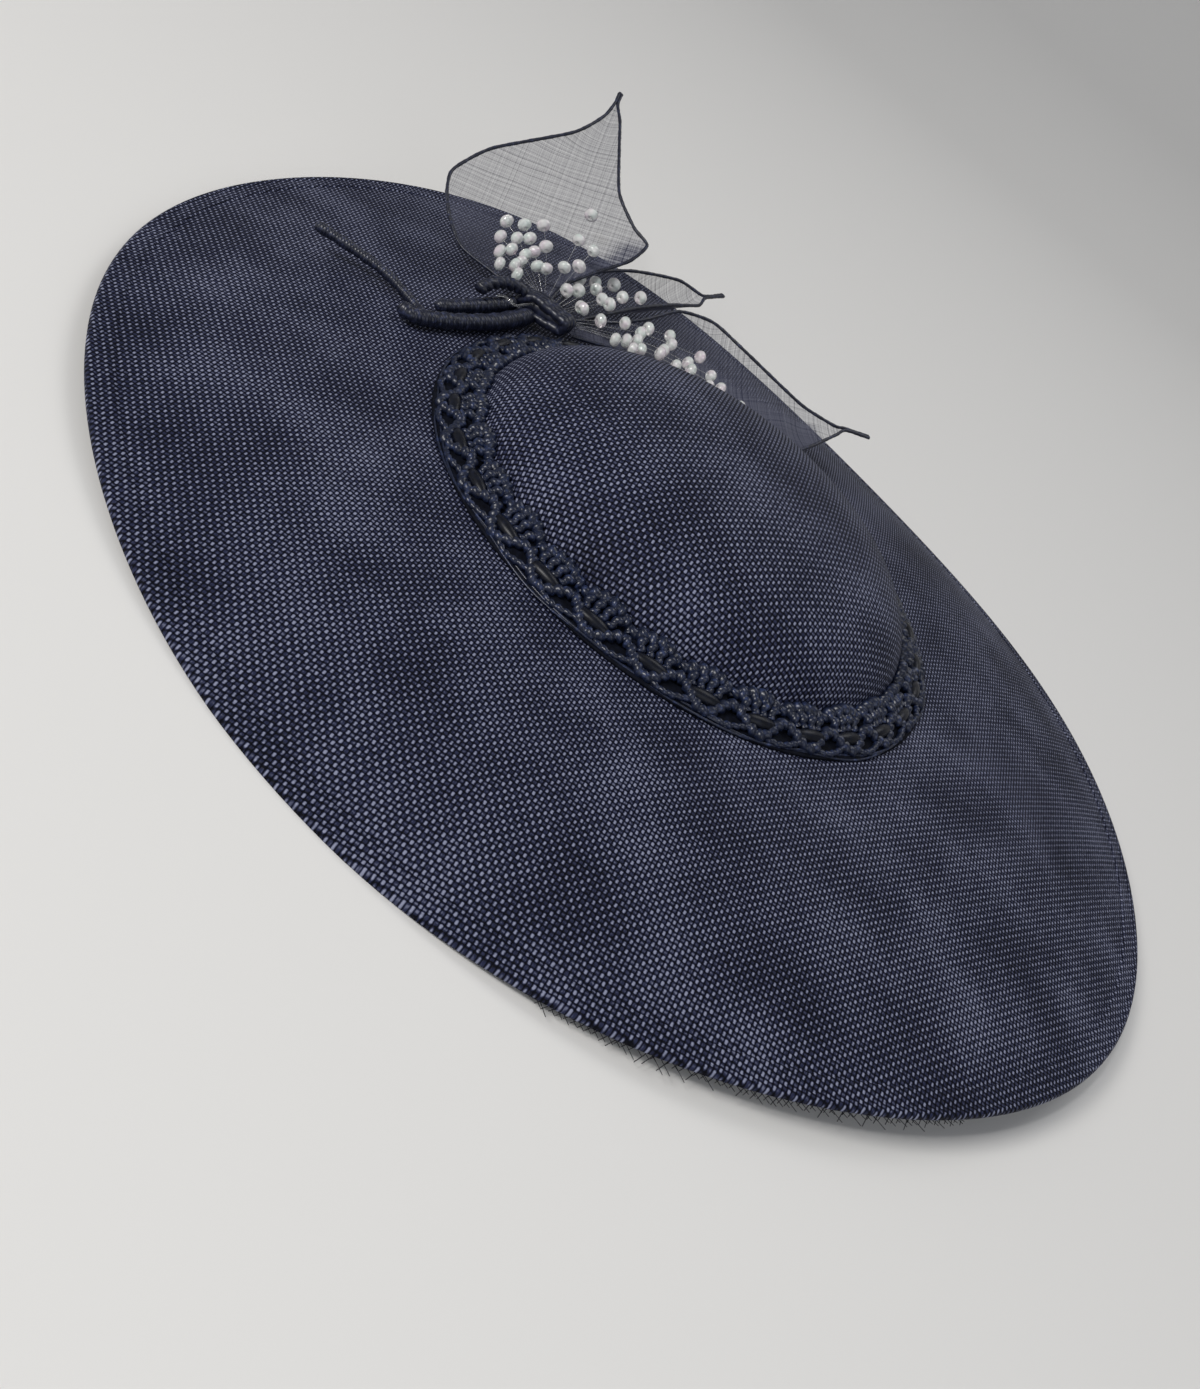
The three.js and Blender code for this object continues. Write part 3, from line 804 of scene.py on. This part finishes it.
# Stems, tendril and binding
# Columns: radius, ridge pitch, ridge depth, then points from the end to the binding
STEMS = {
    "stem_lower": (3.4, 1.25, 0.2, [
        (-127, -17, 18), (-121, -17.5, 18), (-115, -6, 18.2),
        (-110, 8, 18.3), (-106, 24, 18.3), (-103, 44.2, 19),
    ]),
    "stem_upper": (3.1, 1.25, 0.2, [
        (-122, 0.5, 18), (-119.5, 6, 18), (-116.5, 19, 18), (-113, 34, 18.2), (-111, 44, 19.2),
    ]),
    "tendril": (2.05, 1.2, 0.24, [
        (-121, -10.2, 17.4), (-127, -6, 16.1), (-140, -4.5, 17.2), (-152, -7.5, 18), (-168, -13, 18.4),
    ]),
}
END_ROUND = 0.9
STEM_TAPER = 0.78
STEM_SIDES = 20
END_SHARE = 0.06


def rounded_ends(size, length, reach):
    """A radius that grows from the free end to the tied one and closes in at both"""
    def ended(distance, angles):
        near = min(distance, length - distance) / reach
        share = math.sqrt(max(END_SHARE, 1 - (1 - min(1, near)) ** 2))
        grown = STEM_TAPER + (1 - STEM_TAPER) * distance / length
        return size(distance, angles) * share * grown
    return ended


def make_stem(name, radius, pitch, depth, points, material):
    path = smooth_path(np.asarray(points, float) + [0, 0, RIM_LIFT], pitch / RINGS_PER_RIDGE)
    length = np.linalg.norm(np.diff(path, axis=0), axis=1).sum()
    stem = Shape()
    size = rounded_ends(wound(radius, pitch, depth, 2), length, radius * END_ROUND)
    stem.tube(path, size, STEM_SIDES)
    add_piece(f"{name}_wound", stem.points, stem.faces, material, name)


# Binding: a core across the bundle, turns of tape round it, a folded loop and a curl of nylon
BINDING_BACK = 52
BINDING_FRONT = 45
BINDING_LEFT = -113
BINDING_RIGHT = -87.5
BINDING_LOW = (15.2, 19.6)
BINDING_TOP = 27
BINDING_INSET = 1.3
# Turns of tape round the core: place along it, tape radius
BINDING_WRAPS = [(45.6, 1.9), (48.3, 2.1), (51.0, 1.9)]
# Folds of the tape: ridge pitch and depth on the wraps; radius, pitch, depth and turns on the loop
WRAP_FOLDS = (5.5, 0.16)
LOOP_FOLDS = (2.4, 4.2, 0.42, 2)
CURL_RADIUS = 0.5
BINDING_LOOP = [(-105, 48.5, 22.5), (-112.5, 43, 25), (-117, 32, 25.6), (-118, 22, 24)]
BINDING_CURL = [
    (-104.5, 45.4, 23.2),
    (-106, 39, 22.8),
    (-107.1, 34.4, 22.6),
    (-109.7, 33.2, 23.2),
    (-112.5, 34, 22.6),
    (-114.6, 33, 21.6),
]


def binding_outline(inset, count):
    """Outline of the bundle across it: over the top from left to right, then back underneath"""
    outline = []
    for side in ("top", "bottom"):
        for k in range(count):
            v = (k + 0.5) / count
            v = v if side == "top" else 1 - v
            low = BINDING_LOW[0] + (BINDING_LOW[1] - BINDING_LOW[0]) * v + inset
            swell = math.sqrt(math.sin(v * math.pi))
            high = low + (BINDING_TOP - BINDING_LOW[0] - 2 * inset) * swell
            x = BINDING_LEFT + inset + (BINDING_RIGHT - BINDING_LEFT - 2 * inset) * v
            outline.append((x, min(high, BINDING_TOP - inset) if side == "top" else low))
    return outline


def make_binding(satin, nylon):
    wrap = Shape()
    section = binding_outline(BINDING_INSET, 14)
    count = len(section)
    points = [(x, y, z + RIM_LIFT) for y in (BINDING_FRONT, BINDING_BACK) for x, z in section]
    faces = grid_faces(2, count, wrap_columns=True)
    faces.append(tuple(range(count))[::-1])
    faces.append(tuple(count + k for k in range(count)))
    wrap.add(points, faces)
    for y, size in BINDING_WRAPS:
        route = [(x, y, z + RIM_LIFT) for x, z in binding_outline(size, 10)]
        route = smooth_path([*route, route[0]], 0.5)[:-1]
        wrap.tube(route, wound(size, *WRAP_FOLDS), 14, closed=True)
    loop = smooth_path(np.asarray(BINDING_LOOP) + [0, 0, RIM_LIFT], 0.3)
    wrap.tube(loop, wound(*LOOP_FOLDS), 16)
    add_piece("binding_tape", wrap.points, wrap.faces, satin, "binding")
    curl = Shape()
    route = smooth_path(np.asarray(BINDING_CURL) + [0, 0, RIM_LIFT], 0.4)
    curl.tube(route, CURL_RADIUS, 8)
    add_piece("binding_curl", curl.points, curl.faces, nylon)


# Net strip under the hem: crossing strands
NET_FROM = 283
NET_TO = 318
NET_INSIDE = 7
NET_OUTSIDE = 2.5
NET_CELL = 1.9
NET_STRAND = 0.12
NET_DROP = 1.9
NET_SLANT = 0.8
NET_OVERLAP = 6
NET_STEPS = 8
NET_STAND_OFF = 0.2
NET_RISE = 1.2


def make_net(material):
    net = Shape()
    length = math.radians(NET_TO - NET_FROM) * RIM_RADIUS
    width = NET_INSIDE + NET_OUTSIDE
    columns = int(length / NET_CELL)
    loose = random.uniform(0, 1, columns + 2 * NET_OVERLAP) ** 4
    for lean in (-1, 1):
        for column in range(-NET_OVERLAP, columns + NET_OVERLAP):
            path = []
            for t in np.linspace(0, 1, NET_STEPS):
                along = column * NET_CELL + lean * (t - 0.5) * width * NET_SLANT
                if not 0 <= along <= length:
                    continue
                angle = math.radians(NET_FROM) + along / RIM_RADIUS
                frayed = NET_OUTSIDE * loose[column]
                radius = rim_radius(angle) - NET_INSIDE + t * (NET_INSIDE + frayed)
                point = brim_point(radius, angle)
                base = brim_point(rim_radius(angle), angle)[2]
                height = min(point[2], base + NET_RISE) - NET_DROP - NET_STAND_OFF * lean
                point[2] = max(NET_STRAND, height)
                path.append(point)
            if len(path) >= 3:
                net.tube(path, NET_STRAND, 4)
    add_piece("under_net_strands", net.points, net.faces, material, "under_net")


# Stage, light and camera
def add_area(name, place, target, size, power, color):
    light = bpy.data.lights.new(name, "AREA")
    light.size = size
    light.energy = power
    light.color = color
    lamp = bpy.data.objects.new(name, light)
    lamp.location = place
    lamp.rotation_euler = (Vector(target) - Vector(place)).to_track_quat("-Z", "Y").to_euler()
    bpy.context.collection.objects.link(lamp)


# Floor, in metres: places along Y and heights of a flat stretch that sweeps up behind the object
FLOOR_PROFILE = [(-6.0, 0.0), (1.2, 0.0), (1.8, 0.08), (2.3, 0.35), (2.6, 0.8), (2.7, 1.5), (2.7, 5.0)]
FLOOR_HALF = 6.0
FLOOR_COLOR = (0.72, 0.71, 0.69)
WORLD_COLOR = (0.9, 0.93, 1.0, 1.0)
WORLD_STRENGTH = 0.25
LAMP_TARGET = (0.0, 0.0, 0.02)
# Columns: name, place and size in metres, power in watts, colour
LAMPS = [
    ("key", (-1.2, -1.3, 1.3), 0.6, 26.0, (1.0, 0.98, 0.95)),
    ("fill", (1.3, -1.2, 1.0), 1.4, 7.0, (0.92, 0.95, 1.0)),
    ("spark", (-0.45, -0.95, 0.95), 0.08, 3.5, (1.0, 1.0, 1.0)),
    ("top", (0.3, 0.9, 1.6), 1.0, 7.0, (1.0, 1.0, 1.0)),
]


def make_stage():
    rows = []
    for y, z in FLOOR_PROFILE:
        rows.extend([(-FLOOR_HALF, y, z), (FLOOR_HALF, y, z)])
    mesh = bpy.data.meshes.new("floor")
    mesh.from_pydata(rows, [], [face[::-1] for face in grid_faces(len(FLOOR_PROFILE), 2)])
    mesh.materials.append(plain_material("pale_floor", FLOOR_COLOR, 0.8))
    mesh.polygons.foreach_set("use_smooth", [True] * len(mesh.polygons))
    stage = bpy.data.objects.new("floor", mesh)
    bpy.context.collection.objects.link(stage)
    world = bpy.data.worlds.new("studio")
    world.use_nodes = True
    background = world.node_tree.nodes["Background"]
    background.inputs["Color"].default_value = WORLD_COLOR
    background.inputs["Strength"].default_value = WORLD_STRENGTH
    bpy.context.scene.world = world
    bpy.context.scene.view_settings.view_transform = "Standard"
    for name, place, size, power, color in LAMPS:
        add_area(name, place, LAMP_TARGET, size, power, color)


# Camera fitted to the photograph: its place, and its axes in the CAD frame
CAMERA_PLACE = (25.4, -451.1, 236.1)
CAMERA_RIGHT = (0.7604, 0.3715, 0.5328)
CAMERA_DOWN = (0.6487, -0.3942, -0.6510)
PHOTO_FOCAL = 1433
PHOTO_HEIGHT = 1389
SENSOR = 36.0


def make_camera():
    data = bpy.data.cameras.new("camera")
    data.sensor_width = SENSOR
    data.lens = SENSOR * PHOTO_FOCAL / PHOTO_HEIGHT
    data.clip_start = 0.01
    camera = bpy.data.objects.new("camera", data)
    right = Vector(CAMERA_RIGHT).normalized()
    up = -Vector(CAMERA_DOWN)
    back = right.cross(up).normalized()
    up = back.cross(right)
    turn = Matrix((right, up, back)).transposed().to_4x4()
    camera.matrix_world = Matrix.Translation(Vector(CAMERA_PLACE) * MM) @ turn
    bpy.context.collection.objects.link(camera)
    bpy.context.scene.camera = camera


NAVY_CORD = (0.009, 0.0135, 0.034)
NAVY_THREAD = (0.011, 0.0135, 0.029)
NAVY_TAPE = (0.003, 0.004, 0.009)

make_camera()
make_stage()
straw = straw_material()
organza = organza_material()
# Threads and tapes: colour, roughness, how much brighter the flecks get (partly a painted glint), and gloss
gimp = thread_material("gimp_cord", NAVY_CORD, 0.32, 4.0, 0.45)
wound_thread = thread_material("wound_thread", NAVY_THREAD, 0.34, 4.0)
satin_tape = thread_material("satin_tape", NAVY_THREAD, 0.36, 3.0)
dark_satin = thread_material("dark_satin", NAVY_TAPE, 0.36, 2.5, 0.25)
dark_tape = thread_material("dark_tape", NAVY_TAPE, 0.8, 2.0, 0.12)
glass = bead_material()
nylon = plain_material("nylon", (0.95, 0.95, 0.94), 0.05, Transmission_Weight=0.95)
net_thread = plain_material("net_thread", (0.006, 0.006, 0.009), 0.7)
comb_plastic = plain_material("comb_plastic", (0.01, 0.01, 0.014), 0.3)

make_brim(straw)
make_crown(straw)
make_braid(gimp, dark_satin, dark_tape)
for leaf, (base, heading, rows) in LEAVES.items():
    make_leaf(leaf, base, heading, rows, organza, wound_thread)
for spray, (root, strands) in SPRAYS.items():
    make_spray(spray, root, strands, glass, nylon)
for stem, (radius, pitch, depth, points) in STEMS.items():
    make_stem(stem, radius, pitch, depth, points, wound_thread)
make_binding(satin_tape, nylon)
make_net(net_thread)
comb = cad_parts["comb"]
comb.data.materials.clear()
comb.data.materials.append(comb_plastic)
